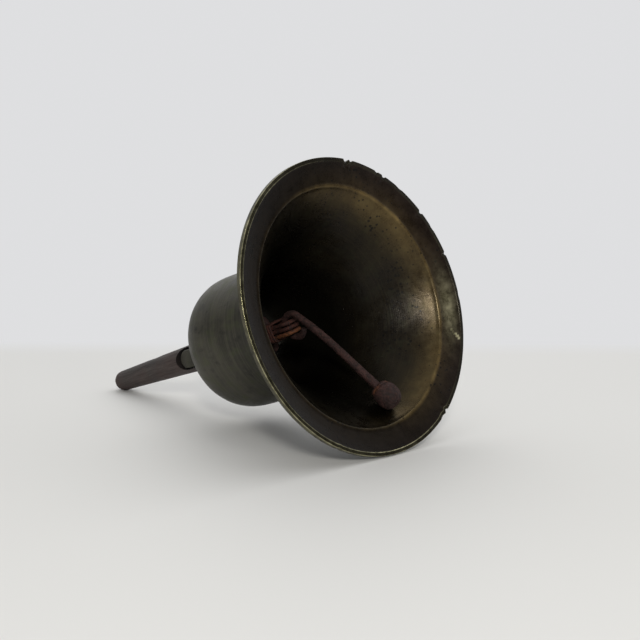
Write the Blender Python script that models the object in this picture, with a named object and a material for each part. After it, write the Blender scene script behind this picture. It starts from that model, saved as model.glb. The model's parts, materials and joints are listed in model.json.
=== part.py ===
"""Hand bell of cast bronze, lying on its side.

A flared bell with a cast tang, a forked wooden handle riveted over the tang, and an iron clapper that
hangs from a staple in the crown by a link of wound wire.

The bell rests on its lip and on the end of its handle.  Z is up and z = 0 is the surface it lies on, X is
the bell's length with the mouth towards +X, and the origin is at the bottom centre of the whole object.

Pieces are modelled in the bell's own axes: local Z points out of the mouth along the bell's axis, local X
points down towards the surface below, and local Y is level.  A depth is a distance from the mouth plane
towards the handle, so that a point at depth d has local z = -d.
"""

import math

import bmesh
import bpy
from mathutils import Matrix, Vector

# Driving dimensions, in metres.

# Bell
MOUTH_RADIUS = 0.0900
LIP_FACE = 0.0030  # width of the flat ring that the bell stands on, mouth down
LIP_BAND = 0.0030  # height of the lip's outer edge
EDGE_BREAK = 0.0004
RIDGE_RADIUS = 0.0733  # the ridge inside the mouth, where the flat flange ends
RIDGE_DEPTH = 0.0045
WAIST_RADIUS = 0.0410
WAIST_DEPTH = 0.0600
SHOULDER_RADIUS = 0.0430
SHOULDER_DEPTH = 0.0997
CROWN_DEPTH = 0.1302
CROWN_INNER_DEPTH = 0.1210
WALL = 0.0038
OUTER_FLARE_POWER = 1.65
INNER_FLARE_POWER = 1.5
CROWN_POWER = 2.63  # exponent of the superellipse that rounds the crown

# Tang and handle
HANDLE_END_DEPTH = 0.2542
HANDLE_ROOT_RADIUS = 0.0104
HANDLE_END_RADIUS = 0.0072
TANG_HALF_WIDTH = 0.0065
TANG_HALF_THICKNESS = 0.0069
TANG_TIP_DEPTH = 0.1703
TANG_CHAMFER = 0.0011
TANG_ROOT_OVERLAP = 0.0035  # how far the tang runs into the crown that it is cast with
SLOT_HALF_WIDTH = 0.0072
SLOT_TIP_DEPTH = 0.1716
SLOT_RISE = 0.0003  # the slot sits this much above the tang's middle, so the upper gap is the wider one
RIVET_DEPTH = 0.1480
RIVET_RADIUS = 0.0018
RIVET_HEAD_RADIUS = 0.0035
RIVET_END_RADIUS = 0.0027
RIVET_HEAD_FLOOR = 0.0087  # distance of the underside of the rivet's head from the bell's axis
RIVET_HEAD_TOP = 0.0096
ROVE_FLOOR = 0.0082
ROVE_TOP = 0.0089
RIVET_END_TOP = 0.0098
HEAD_TOP_SHARE = 0.8  # the flat top of the head, as a share of its radius
END_TOP_SHARE = 0.7

# Clapper and what it hangs from
CLAPPER_SIDE_ANGLE = math.radians(14.5)  # how far round from the lowest line of the bell the clapper lies
STAPLE_RADIUS = 0.0025
STAPLE_HALF_SPAN = 0.0105
STAPLE_BEND = 0.0040
STAPLE_BAR_DEPTH = 0.0830
STAPLE_SOCKET_DEPTH = 0.1265
SOCKET_LEAD = 0.0040  # how far a socket's cutter starts before the crown
LINK_WIRE_RADIUS = 0.00145
LINK_TURNS = 3
LINK_PITCH = 0.00315
LINK_INNER_HALF_WIDTH = 0.0042
LASHING_WIRE_RADIUS = 0.0008
LASHING_TURNS = 3
LASHING_PITCH = 0.0019
LASHING_DEPTH = 0.0748
SWING_DEPTH = 0.0593
EYE_ROD_RADIUS = 0.0024
EYE_RADIUS = 0.0076
EYE_SWEEP = math.radians(294)
SHANK_RADIUS = 0.0029
SHANK_END_INSET = 0.0010  # the shank stops this far short of the bob's centre
EYE_TAPER_LENGTH = 0.0120  # over which the shank is drawn down to the eye's rod
BOB_RADIUS = 0.0078
BOB_HALF_LENGTH = 0.0084
BOB_DEPTH = 0.0097
BOB_AXIS_DISTANCE = 0.0569
BOB_FULLNESS = 0.6  # power of the cosine that rounds the bob: lower is more like a barrel
BOB_SOCKET_RIM = 0.0008  # width of the bob's flat rim round the shank
BOB_SOCKET_SHARE = 0.97  # where the socket opens, as a share of the bob's half length

GAP = 0.0003  # between pieces that fit or touch

CUTTER_REACH = 0.0200  # cutters run past the handle by this much from the bell's axis
SLOT_LEAD = 0.0100  # and the slot's cutter starts this far before the handle

BELL_SEGMENTS = 60
HANDLE_SEGMENTS = 24
SMALL_SEGMENTS = 20
BORE_SEGMENTS = 16
MERGE_DISTANCE = 1e-6

# Where the bell lies.  The back edge of the lip's lowest facet and the handle's round end both touch z = 0.
FACET_SHARE = math.cos(math.pi / BELL_SEGMENTS)
LIP_LOW_RADIUS = MOUTH_RADIUS * FACET_SHARE
END_CENTRE_DEPTH = HANDLE_END_DEPTH - HANDLE_END_RADIUS
SUPPORT_SPAN = END_CENTRE_DEPTH - LIP_BAND
TILT = math.acos(HANDLE_END_RADIUS / math.hypot(LIP_LOW_RADIUS, SUPPORT_SPAN)) - math.atan2(
    SUPPORT_SPAN, LIP_LOW_RADIUS
)
MOUTH_HEIGHT = END_CENTRE_DEPTH * math.sin(TILT) + HANDLE_END_RADIUS
LIP_FORWARD = (MOUTH_RADIUS - EDGE_BREAK) * FACET_SHARE * math.sin(TILT)
MOUTH_X = (END_CENTRE_DEPTH * math.cos(TILT) + HANDLE_END_RADIUS - LIP_FORWARD) / 2


def clear_scene():
    for obj in list(bpy.data.objects):
        bpy.data.objects.remove(obj, do_unlink=True)


def material(name, colour, roughness, metallic):
    made = bpy.data.materials.new(name)
    made.use_nodes = True
    shader = made.node_tree.nodes["Principled BSDF"]
    shader.inputs["Base Color"].default_value = (*colour, 1.0)
    shader.inputs["Roughness"].default_value = roughness
    shader.inputs["Metallic"].default_value = metallic
    made.diffuse_color = (*colour, 1.0)
    return made


def empty(name, parent=None, location=(0, 0, 0), rotation=(0, 0, 0)):
    made = bpy.data.objects.new(name, None)
    made.empty_display_size = 0.02
    made.location = location
    made.rotation_euler = rotation
    made.parent = parent
    bpy.context.scene.collection.objects.link(made)
    return made


def add_object(name, data, parent, look=None):
    made = bpy.data.objects.new(name, data)
    made.parent = parent
    if look:
        data.materials.append(look)
    bpy.context.scene.collection.objects.link(made)
    return made


def as_helper(obj):
    """A cutter or a piece to join: left out of the model itself."""
    obj.hide_render = True
    obj.display_type = "WIRE"
    return obj


def mesh_from(name, bm, sharp_angle=math.radians(35)):
    bmesh.ops.recalc_face_normals(bm, faces=bm.faces)
    mesh = bpy.data.meshes.new(name)
    bm.to_mesh(mesh)
    bm.free()
    mesh.shade_smooth()
    mesh.set_sharp_from_angle(angle=sharp_angle)
    return mesh


def turned_mesh(name, profile, segments):
    """The profile's (radius, z) points turned about Z, with a flat facet centred on +X."""
    half_step = math.pi / segments
    bm = bmesh.new()
    points = [
        bm.verts.new((radius * math.cos(half_step), radius * math.sin(half_step), z)) for radius, z in profile
    ]
    edges = [bm.edges.new(pair) for pair in zip(points, points[1:])]
    bmesh.ops.spin(
        bm, geom=points + edges, cent=(0, 0, 0), axis=(0, 0, 1), angle=2 * math.pi, steps=segments, use_merge=True
    )
    bmesh.ops.remove_doubles(bm, verts=bm.verts, dist=MERGE_DISTANCE)
    return mesh_from(name, bm)


def slab_mesh(name, outline, half_thickness, chamfer=0.0):
    """The outline's (x, z) points as a slab that reaches half_thickness to each side of Y = 0."""
    bm = bmesh.new()
    face = bm.faces.new([bm.verts.new((x, -half_thickness, z)) for x, z in outline])
    grown = bmesh.ops.extrude_face_region(bm, geom=[face])
    moved = [item for item in grown["geom"] if isinstance(item, bmesh.types.BMVert)]
    bmesh.ops.translate(bm, verts=moved, vec=(0, 2 * half_thickness, 0))
    if chamfer:
        rims = [edge for edge in bm.edges if abs(edge.verts[0].co.y - edge.verts[1].co.y) < half_thickness]
        bmesh.ops.bevel(bm, geom=rims, offset=chamfer, segments=2, profile=0.6, affect="EDGES")
    return mesh_from(name, bm)


def rod_curve(name, points, radius, sides_level, radii=None):
    """A round rod along the points, with flat closed ends.  radii holds each point's share of the radius."""
    curve = bpy.data.curves.new(name, "CURVE")
    curve.dimensions = "3D"
    curve.bevel_depth = radius
    curve.bevel_resolution = sides_level
    curve.use_fill_caps = True
    spline = curve.splines.new("POLY")
    spline.points.add(len(points) - 1)
    for place, point in enumerate(points):
        spline.points[place].co = (*point, 1.0)
        spline.points[place].radius = radii[place] if radii else 1.0
    spline.use_smooth = True
    return curve


def cylinder_mesh(name, radius, low, high, segments=SMALL_SEGMENTS):
    """A solid cylinder about Z, from low to high."""
    return turned_mesh(name, [(0, high), (radius, high), (radius, low), (0, low)], segments)


def cut(obj, cutter, operation="DIFFERENCE"):
    boolean = obj.modifiers.new(cutter.name, "BOOLEAN")
    boolean.object = cutter
    boolean.operation = operation
    boolean.solver = "EXACT"


def shares(count):
    """count equal steps from 0 to 1, both ends included."""
    return [step / count for step in range(count + 1)]


def flare(share, mouth, waist, power):
    """A point on a flare that runs from the mouth's (radius, depth) to the waist's."""
    radius = waist[0] + (mouth[0] - waist[0]) * (1 - share) ** power
    return radius, mouth[1] + (waist[1] - mouth[1]) * share


def swell(share, waist, shoulder):
    """A point on the nearly straight wall between the waist and the shoulder."""
    radius = waist[0] + (shoulder[0] - waist[0]) * (1 - math.cos(math.pi * share)) / 2
    return radius, waist[1] + (shoulder[1] - waist[1]) * share


def dome(share, shoulder, top_depth):
    """A point on the rounded crown, from the shoulder's (radius, depth) to the axis."""
    radius = shoulder[0] * math.cos(share * math.pi / 2) ** (2 / CROWN_POWER)
    return radius, shoulder[1] + (top_depth - shoulder[1]) * math.sin(share * math.pi / 2) ** (2 / CROWN_POWER)


def wall_line(mouth, waist, shoulder, crown_depth, power):
    """One side of the bell's wall, from the mouth to the axis at the crown, as (radius, depth) points."""
    line = [flare(share, mouth, waist, power) for share in shares(8)]
    line += [swell(share, waist, shoulder) for share in shares(3)[1:]]
    line += [dome(share, shoulder, crown_depth) for share in shares(7)[1:-1]]
    line.append((0, crown_depth))
    return line


def bell_profile():
    """The wall's section as a chain of (radius, z), from the axis inside, round the lip, to the axis outside."""
    outer = wall_line(
        (MOUTH_RADIUS, LIP_BAND),
        (WAIST_RADIUS, WAIST_DEPTH),
        (SHOULDER_RADIUS, SHOULDER_DEPTH),
        CROWN_DEPTH,
        OUTER_FLARE_POWER,
    )
    inner = wall_line(
        (RIDGE_RADIUS, RIDGE_DEPTH),
        (WAIST_RADIUS - WALL, WAIST_DEPTH),
        (SHOULDER_RADIUS - WALL, SHOULDER_DEPTH - WALL),
        CROWN_INNER_DEPTH,
        INNER_FLARE_POWER,
    )
    lip = [
        (MOUTH_RADIUS - LIP_FACE - EDGE_BREAK, EDGE_BREAK),
        (MOUTH_RADIUS - LIP_FACE, 0),
        (MOUTH_RADIUS - EDGE_BREAK, 0),
        (MOUTH_RADIUS, EDGE_BREAK),
    ]
    return [(radius, -depth) for radius, depth in inner[::-1] + lip + outer]


def tongue_outline(half_width, root_depth, tip_depth, middle_x=0.0):
    """A strip with a round end, as (x, z) points: the tang's outline and the slot's."""
    centre_depth = tip_depth - half_width
    outline = [(middle_x + half_width, -root_depth), (middle_x - half_width, -root_depth)]
    for share in shares(12):
        angle = math.pi * share
        x = middle_x - half_width * math.cos(angle)
        outline.append((x, -centre_depth - half_width * math.sin(angle)))
    return outline


def make_bell(axis, bronze):
    bell = add_object("bell_casting", turned_mesh("bell_casting", bell_profile(), BELL_SEGMENTS), axis, bronze)
    root_depth = CROWN_DEPTH - TANG_ROOT_OVERLAP
    outline = tongue_outline(TANG_HALF_WIDTH, root_depth, TANG_TIP_DEPTH)
    tang = as_helper(add_object("tang", slab_mesh("tang", outline, TANG_HALF_THICKNESS, TANG_CHAMFER), axis))
    cut(bell, tang, "UNION")
    return bell


def make_rivet_bore(axis):
    bore = cylinder_mesh("rivet_bore", RIVET_RADIUS + GAP, -CUTTER_REACH, CUTTER_REACH, BORE_SEGMENTS)
    made = as_helper(add_object("rivet_bore", bore, axis))
    made.location = (0, 0, -RIVET_DEPTH)
    made.rotation_euler = (0, math.pi / 2, 0)
    return made


def make_handle(axis, wood):
    root_depth = CROWN_DEPTH + GAP
    profile = [(0, -root_depth), (HANDLE_ROOT_RADIUS, -root_depth)]
    for share in shares(4)[1:]:
        radius = HANDLE_ROOT_RADIUS + (HANDLE_END_RADIUS - HANDLE_ROOT_RADIUS) * share
        profile.append((radius, -root_depth - (END_CENTRE_DEPTH - root_depth) * share))
    for share in shares(5)[1:]:
        angle = share * math.pi / 2
        radius = HANDLE_END_RADIUS * math.cos(angle) if share < 1 else 0
        profile.append((radius, -END_CENTRE_DEPTH - HANDLE_END_RADIUS * math.sin(angle)))
    handle = add_object("handle", turned_mesh("handle", profile, HANDLE_SEGMENTS), axis, wood)

    outline = tongue_outline(SLOT_HALF_WIDTH, root_depth - SLOT_LEAD, SLOT_TIP_DEPTH, -SLOT_RISE)
    slot = as_helper(add_object("handle_slot", slab_mesh("handle_slot", outline, CUTTER_REACH), axis))
    cut(handle, slot)
    # Local X points down, so the head is let into the upper prong, at -X, and the rove into the lower one.
    for name, floor, turn in (
        ("head_recess", RIVET_HEAD_FLOOR - GAP, -math.pi / 2),
        ("rove_recess", ROVE_FLOOR - GAP, math.pi / 2),
    ):
        recess = cylinder_mesh(name, RIVET_HEAD_RADIUS + GAP, floor, CUTTER_REACH)
        recess = as_helper(add_object(name, recess, axis))
        recess.location = (0, 0, -RIVET_DEPTH)
        recess.rotation_euler = (0, turn, 0)
        cut(handle, recess)
    return handle


def make_rivet(axis, iron):
    """The rivet's own Z runs from its head, above, to its hammered end, below."""
    end_floor = ROVE_TOP + GAP
    profile = [
        (0, RIVET_END_TOP),
        (RIVET_END_RADIUS * END_TOP_SHARE, RIVET_END_TOP),
        (RIVET_END_RADIUS, end_floor),
        (RIVET_RADIUS, end_floor),
        (RIVET_RADIUS, -RIVET_HEAD_FLOOR),
        (RIVET_HEAD_RADIUS, -RIVET_HEAD_FLOOR),
        (RIVET_HEAD_RADIUS * HEAD_TOP_SHARE, -RIVET_HEAD_TOP),
        (0, -RIVET_HEAD_TOP),
    ]
    rivet = add_object("handle_rivet", turned_mesh("handle_rivet", profile, SMALL_SEGMENTS), axis, iron)
    inner = RIVET_RADIUS + GAP
    ring = [(inner, ROVE_FLOOR), (inner, ROVE_TOP), (RIVET_HEAD_RADIUS, ROVE_TOP), (RIVET_HEAD_RADIUS, ROVE_FLOOR)]
    ring.append(ring[0])
    rove = add_object("rivet_rove", turned_mesh("rivet_rove", ring, SMALL_SEGMENTS), axis, iron)
    for piece in (rivet, rove):
        piece.location = (0, 0, -RIVET_DEPTH)
        piece.rotation_euler = (0, math.pi / 2, 0)


def make_staple(plane, iron, bell):
    """A U of rod whose legs stand in blind holes in the crown.  Its bar lies along local X."""
    bend_centre_x = STAPLE_HALF_SPAN - STAPLE_BEND
    bend_centre_z = -STAPLE_BAR_DEPTH - STAPLE_BEND
    socket_mouth = -CROWN_INNER_DEPTH + SOCKET_LEAD
    half = [(STAPLE_HALF_SPAN, 0, -STAPLE_SOCKET_DEPTH + GAP), (STAPLE_HALF_SPAN, 0, socket_mouth)]
    for share in shares(6):
        angle = share * math.pi / 2
        x = bend_centre_x + STAPLE_BEND * math.cos(angle)
        half.append((x, 0, bend_centre_z + STAPLE_BEND * math.sin(angle)))
    path = half + [(-x, y, z) for x, y, z in reversed(half)]
    add_object("clapper_staple", rod_curve("clapper_staple", path, STAPLE_RADIUS, 4), plane, iron)
    for side in (-1, 1):
        name = f"staple_socket_{'upper' if side < 0 else 'lower'}"
        socket = as_helper(
            add_object(name, cylinder_mesh(name, STAPLE_RADIUS + GAP, -STAPLE_SOCKET_DEPTH, socket_mouth), plane)
        )
        socket.location = (side * STAPLE_HALF_SPAN, 0, 0)
        cut(bell, socket)


def link_path():
    """Three turns of wire side by side, in the axes of the staple's plane.

    Each turn is a long round-ended loop in Y and Z.  The turns step along X on the far side of the loop, so
    both ends of the link and its near side hold three strands lying flat.
    """
    bend = LINK_INNER_HALF_WIDTH + LINK_WIRE_RADIUS
    staple_end = -STAPLE_BAR_DEPTH - STAPLE_RADIUS - GAP - LINK_WIRE_RADIUS + bend
    clapper_end = -SWING_DEPTH - bend
    middle = (staple_end + clapper_end) / 2
    first_x = -LINK_PITCH * (LINK_TURNS - 1) / 2
    path = []
    for turn in range(LINK_TURNS):
        x = first_x + turn * LINK_PITCH
        step_in = x if turn == 0 else x - LINK_PITCH / 2
        path.append((step_in, bend, middle))
        for share in shares(8):
            angle = math.pi * share
            path.append((x, bend * math.cos(angle), staple_end - bend * math.sin(angle)))
        path.append((x, -bend, middle))
        for share in shares(8):
            angle = math.pi * share
            path.append((x, -bend * math.cos(angle), clapper_end + bend * math.sin(angle)))
    path.append((first_x + (LINK_TURNS - 1) * LINK_PITCH, bend, middle + LINK_WIRE_RADIUS))
    return path


def lashing_path():
    """Turns of thin wire round the waist of the link, in the axes of the staple's plane."""
    clear = LINK_WIRE_RADIUS + LASHING_WIRE_RADIUS + GAP
    half_x = LINK_PITCH * (LINK_TURNS - 1) / 2 + clear
    half_y = LINK_INNER_HALF_WIDTH + LINK_WIRE_RADIUS + clear
    path = []
    for turn in range(LASHING_TURNS):
        for quarter in range(4):
            for share in shares(4):
                angle = math.pi / 2 * (quarter + share)
                along = turn + (quarter + share) / 4
                side_x = 1 if quarter in (0, 3) else -1
                side_y = 1 if quarter in (0, 1) else -1
                x = side_x * (half_x - clear) + clear * math.cos(angle)
                y = side_y * (half_y - clear) + clear * math.sin(angle)
                z = -LASHING_DEPTH + (along - LASHING_TURNS / 2) * LASHING_PITCH
                if share < 1:
                    path.append((x, y, z))
    return path


def make_link(pivot, wire):
    to_pivot = Vector((0, 0, STAPLE_BAR_DEPTH))
    link = [Vector(point) + to_pivot for point in link_path()]
    lashing = [Vector(point) + to_pivot for point in lashing_path()]
    add_object("link_wire", rod_curve("link_wire", link, LINK_WIRE_RADIUS, 2), pivot, wire)
    add_object("lashing_wire", rod_curve("lashing_wire", lashing, LASHING_WIRE_RADIUS, 1), pivot, wire)


def shank_lean():
    """The angle between the shank and the bell's axis: the shank leaves its eye on a tangent."""
    reach_x = BOB_AXIS_DISTANCE
    reach_z = SWING_DEPTH - BOB_DEPTH
    return math.acos(-EYE_RADIUS / math.hypot(reach_x, reach_z)) - math.atan2(reach_z, reach_x)


def make_clapper(pivot, iron):
    """The clapper in the axes of its pivot: X towards the bob's side of the bell, Z out of the mouth."""
    lean = shank_lean()
    along = Vector((math.sin(lean), 0, math.cos(lean)))  # from the eye to the bob
    bob_centre = Vector((BOB_AXIS_DISTANCE, 0, SWING_DEPTH - BOB_DEPTH))
    tangent = Vector((-math.cos(lean), 0, math.sin(lean))) * EYE_RADIUS

    path = [bob_centre - along * SHANK_END_INSET, tangent + along * EYE_TAPER_LENGTH]
    radii = [1.0, 1.0]
    eye_share = EYE_ROD_RADIUS / SHANK_RADIUS
    for share in shares(22):
        turn = Matrix.Rotation(-EYE_SWEEP * share, 3, "Y")
        path.append(turn @ tangent)
        radii.append(eye_share)
    shank = rod_curve("clapper_shank", path, SHANK_RADIUS, 3, radii)
    add_object("clapper_shank", shank, pivot, iron)

    socket_radius = SHANK_RADIUS + GAP
    barrel = []
    for share in shares(12)[1:-1]:
        angle = math.pi * (share - 0.5)
        barrel.append((BOB_RADIUS * math.cos(angle) ** BOB_FULLNESS, BOB_HALF_LENGTH * math.sin(angle)))
    floor = -SHANK_END_INSET + GAP
    profile = [(0, floor), (socket_radius, floor), (socket_radius, -BOB_HALF_LENGTH * BOB_SOCKET_SHARE)]
    profile += [point for point in barrel if point[0] > socket_radius + BOB_SOCKET_RIM]
    profile.append((0, profile[-1][1]))
    bob = add_object("clapper_bob", turned_mesh("clapper_bob", profile, SMALL_SEGMENTS), pivot, iron)
    bob.location = bob_centre
    bob.rotation_euler = (0, lean, 0)


def main():
    clear_scene()
    bronze = material("patinated bronze", (0.075, 0.074, 0.056), 0.45, 0.85)
    wood = material("weathered handle wood", (0.110, 0.085, 0.072), 0.80, 0.0)
    iron = material("rusty iron", (0.105, 0.062, 0.050), 0.85, 0.30)
    wire = material("rusty wire", (0.170, 0.070, 0.040), 0.85, 0.25)

    axis = empty("bell_axis", None, (MOUTH_X, 0, MOUTH_HEIGHT), (0, math.pi / 2 - TILT, 0))
    plane = empty("staple_plane", axis, rotation=(0, 0, CLAPPER_SIDE_ANGLE))
    sway = empty("sway_pivot", plane, (0, 0, -STAPLE_BAR_DEPTH))
    swing = empty("swing_pivot", sway, (0, 0, STAPLE_BAR_DEPTH - SWING_DEPTH))

    bell = make_bell(axis, bronze)
    handle = make_handle(axis, wood)
    bore = make_rivet_bore(axis)
    cut(bell, bore)
    cut(handle, bore)
    make_rivet(axis, iron)
    make_staple(plane, iron, bell)
    make_link(sway, wire)
    make_clapper(swing, iron)


main()
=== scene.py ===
"""Looks of the bronze hand bell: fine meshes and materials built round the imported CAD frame."""

import json
from math import acos, atan2, cos, degrees, exp, hypot, pi, radians, sin

import bmesh
import bpy
from mathutils import Matrix, Vector, noise


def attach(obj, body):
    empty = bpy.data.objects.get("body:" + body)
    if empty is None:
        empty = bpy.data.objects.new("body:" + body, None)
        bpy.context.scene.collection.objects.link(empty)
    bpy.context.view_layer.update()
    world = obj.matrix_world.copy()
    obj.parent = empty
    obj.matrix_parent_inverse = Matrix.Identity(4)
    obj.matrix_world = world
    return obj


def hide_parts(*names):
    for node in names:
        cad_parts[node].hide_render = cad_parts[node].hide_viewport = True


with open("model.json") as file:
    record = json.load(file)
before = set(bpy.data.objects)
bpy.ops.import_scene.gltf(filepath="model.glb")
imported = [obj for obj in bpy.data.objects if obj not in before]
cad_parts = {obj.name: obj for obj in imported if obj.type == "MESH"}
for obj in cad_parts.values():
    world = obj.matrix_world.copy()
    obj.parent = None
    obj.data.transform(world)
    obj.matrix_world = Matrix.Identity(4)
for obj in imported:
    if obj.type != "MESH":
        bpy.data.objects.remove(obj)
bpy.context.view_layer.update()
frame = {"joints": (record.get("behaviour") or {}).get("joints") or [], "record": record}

# --------------------------------------
# The bell's own axes, read from the frame: X down towards the surface below, Y level, Z out of the mouth.
# A depth is a distance from the mouth plane towards the handle, so a point at depth d has z = -d.

joints = {joint["name"]: joint for joint in frame["joints"]}
lip_mount = Vector(frame["record"]["mounts"][0]["pos_m"])
sway_pivot = Vector(joints["clapper_sway"]["pos_m"])
swing_pivot = Vector(joints["clapper_swing"]["pos_m"])
OUT = Vector(joints["clapper_sway"]["axis"]).normalized()
MOUTH = sway_pivot + OUT * (lip_mount - sway_pivot).dot(OUT)
LEVEL = Vector((0, 1, 0))
DOWN = LEVEL.cross(OUT)


def axes_at(place, x_axis, y_axis, z_axis):
    made = Matrix((x_axis, y_axis, z_axis)).transposed().to_4x4()
    made.translation = place
    return made


BELL_AXES = axes_at(MOUTH, DOWN, LEVEL, OUT)
HINGE = -Vector(joints["clapper_swing"]["axis"]).normalized()
SIDE = HINGE.cross(OUT).normalized()
STAPLE_AXES = axes_at(MOUTH, SIDE, HINGE, OUT)
CLAPPER_AXES = axes_at(swing_pivot, SIDE, HINGE, OUT)

# Sizes in metres: the CAD model's, apart from the lip's narrower face and wider gaps in the slot.
MOUTH_RADIUS = 0.0900
LIP_FACE = 0.0024  # width of the flat ring round the mouth
LIP_BAND = 0.0030  # height of the lip's outer edge
LIP_ROUND = 0.0005
FLANGE_HOLLOW = 0.0003
RIDGE_RADIUS = 0.0733
RIDGE_DEPTH = 0.0045
RIDGE_BEAD = 0.0006
RIDGE_BEAD_WIDTH = 0.0012
WAIST_RADIUS = 0.0410
WAIST_DEPTH = 0.0600
SHOULDER_RADIUS = 0.0430
SHOULDER_DEPTH = 0.0997
CROWN_DEPTH = 0.1302
CROWN_INNER_DEPTH = 0.1210
WALL = 0.0038
OUTER_FLARE_POWER = 1.65
INNER_FLARE_POWER = 1.5
CROWN_POWER = 2.63  # exponent of the superellipse that rounds the crown

HANDLE_END_DEPTH = 0.2542
HANDLE_ROOT_RADIUS = 0.0104
HANDLE_END_RADIUS = 0.0072
END_CENTRE_DEPTH = HANDLE_END_DEPTH - HANDLE_END_RADIUS
TANG_HALF_WIDTH = 0.0062
TANG_HALF_THICKNESS = 0.0069
TANG_TIP_DEPTH = 0.1700
TANG_ROOT_OVERLAP = 0.0035  # how far the tang runs into the crown that it is cast with
TANG_EDGE = 0.0013
SLOT_HALF_WIDTH = 0.0076
SLOT_TIP_DEPTH = 0.1720
SLOT_RISE = 0.0003  # the slot sits this much above the tang's middle
SLOT_LEAD = 0.0100  # and its cutter starts this far before the handle
HANDLE_CHAMFER = 0.0004
GRIMY_FROM = 0.2385  # depths over which grime builds up at the handle's free end
GRIMY_TO = 0.2535
RIVET_DEPTH = 0.1480
RIVET_RADIUS = 0.0018
RIVET_HEAD_RADIUS = 0.0035
RIVET_HEAD_FLOOR = 0.0087
RIVET_HEAD_TOP = 0.0096
RIVET_HEAD_EDGE = 0.0003
ROVE_FLOOR = 0.0082
ROVE_TOP = 0.0089
RIVET_END_RADIUS = 0.0027
RIVET_END_TOP = 0.0098
CUTTER_REACH = 0.0200  # how far a cutter runs past the axis it crosses
RECESS_REACH = 0.0130

STAPLE_RADIUS = 0.0025
STAPLE_HALF_SPAN = 0.0105
STAPLE_BEND = 0.0040
STAPLE_BAR_DEPTH = 0.0830
STAPLE_SOCKET_DEPTH = 0.1265
LINK_WIRE_RADIUS = 0.00145
LINK_TURNS = 3
LINK_PITCH = 0.00315
LINK_INNER_HALF_WIDTH = 0.0042
LASHING_WIRE_RADIUS = 0.0008
LASHING_TURNS = 3
LASHING_PITCH = 0.0019
LASHING_DEPTH = 0.0748
SWING_DEPTH = 0.0593
EYE_ROD_RADIUS = 0.0024
EYE_RADIUS = 0.0076
EYE_SWEEP = radians(294)
SHANK_RADIUS = 0.0029
BOB_RADIUS = 0.0078
BOB_HALF_LENGTH = 0.0084
BOB_DEPTH = 0.0097
BOB_AXIS_DISTANCE = 0.0569
BOB_FULLNESS = 0.6  # power of the cosine that rounds the bob: lower is more like a barrel
BOB_SOCKET_LIP = 0.0012
BOB_SOCKET_RIM = 0.0006
BOB_GROOVE_PLACE = 0.0052
BOB_GROOVE_DEPTH = 0.00045
BOB_GROOVE_WIDTH = 0.00055
BOB_SEAM_PLACE = 0.0056
BOB_SEAM_WIDTH = 0.0012
SHANK_END_INSET = 0.0010  # the shank stops this far short of the bob's centre
GAP = 0.0003  # between pieces that touch on the real bell

SHANK_BOW = 0.0015
SHANK_BEND = 0.0005
SKIN_INSET = 0.0001  # keeps roughened surfaces inside the CAD model's
LIP_INSET = 0.00025  # and the round lip inside its faceted one

# How rubbed each run of the bell's section is, from 0 for patina to 1 for clean metal, and where; on the
# lip's corners the rubbed metal is made brighter on one side as a painted highlight.
INNER_CORNER_WEAR_AND_GLINT = 0.85
FACE_WEAR_AND_GLINT = 0.10
OUTER_CORNER_WEAR_AND_GLINT = 1.0
BAND_WEAR_AND_GLINT = 0.16
# The lip's corners show clean metal most round this side: polished there, and brightened further as a
# painted rim highlight.
WORN_AND_LIT_SIDE = radians(66)
LIT_SIDE = radians(107)  # the lit side, where the painted gold sheen on the wall and the ridge shows most; away from it the inside is painted darker as shade
SCRAPE_ANGLE = 71.5  # degrees round from the lowest point, where bare metal shows on the flange
SCRAPE_RADIUS = 0.0838
SCRAPE_SLANT = 0.0013  # how much further in it runs with each degree
SCRAPE_HALF_WIDTH = 0.0009
SCRAPE_HALF_SPAN = 2.1
SCRAPE_MESH_WIDTH = 0.0080
FLANGE_SHEEN_ANGLE = 84.0  # and where a painted highlight lies on the flange, in clean metal's colour
FLANGE_SHEEN_RADIUS = 0.0805
FLANGE_SHEEN_SPAN = 13.0
FLANGE_SHEEN_REACH = 0.0050
FLANGE_SHEEN_STRENGTH = 0.36
CREST_WIDTH = 0.0014  # of the ridge's gold line: the bead's own gold, brightened as a painted glint on the lit side
GOLD_INWARDS = (0.50, 0.0085)  # strength and reach of the painted gold sheen on the wall beside the ridge
GOLD_OUTWARDS = (0.18, 0.0090)  # and on the flange

WOOD_TONES = (
    (0.028, 0.023, 0.021),
    (0.070, 0.058, 0.054),
    (0.066, 0.041, 0.036),
    (0.050, 0.049, 0.037),
    (0.140, 0.125, 0.110),
)
# Much darker tones for the wood inside the slot.
SLOT_TONES = (
    (0.004, 0.003, 0.003),
    (0.012, 0.009, 0.008),
    (0.016, 0.010, 0.008),
    (0.008, 0.008, 0.006),
    (0.022, 0.018, 0.015),
)
PORE_TONE = (0.014, 0.011, 0.010)
IRON_TONES = ((0.022, 0.010, 0.009), (0.052, 0.023, 0.020), (0.090, 0.043, 0.032))
WIRE_TONES = ((0.022, 0.007, 0.006), (0.055, 0.017, 0.012), (0.085, 0.027, 0.015))
FRESH_RUST = (0.150, 0.052, 0.018)

CHIP_REACH = 0.0050  # how far in from the rim a chip can be seen
CHIP_DEPTH_REACH = 0.0080
CHIP_FADE = 0.0035

# Chips in the lip: degrees round from the lowest point, width along the rim and depth into it, in metres.
LIP_CHIPS = (
    (169.5, 0.0042, 0.0017),
    (166.8, 0.0030, 0.0008),
    (153.0, 0.0030, 0.0006),
    (149.0, 0.0034, 0.0010),
    (140.0, 0.0060, 0.0003),
    (126.0, 0.0036, 0.0011),
    (118.0, 0.0050, 0.0003),
    (106.0, 0.0028, 0.0009),
    (88.0, 0.0060, 0.0002),
    (36.5, 0.0034, 0.0010),
    (33.0, 0.0060, 0.0005),
    (-28.0, 0.0040, 0.0004),
)


# --------------------------------------
# Mesh helpers

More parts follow.
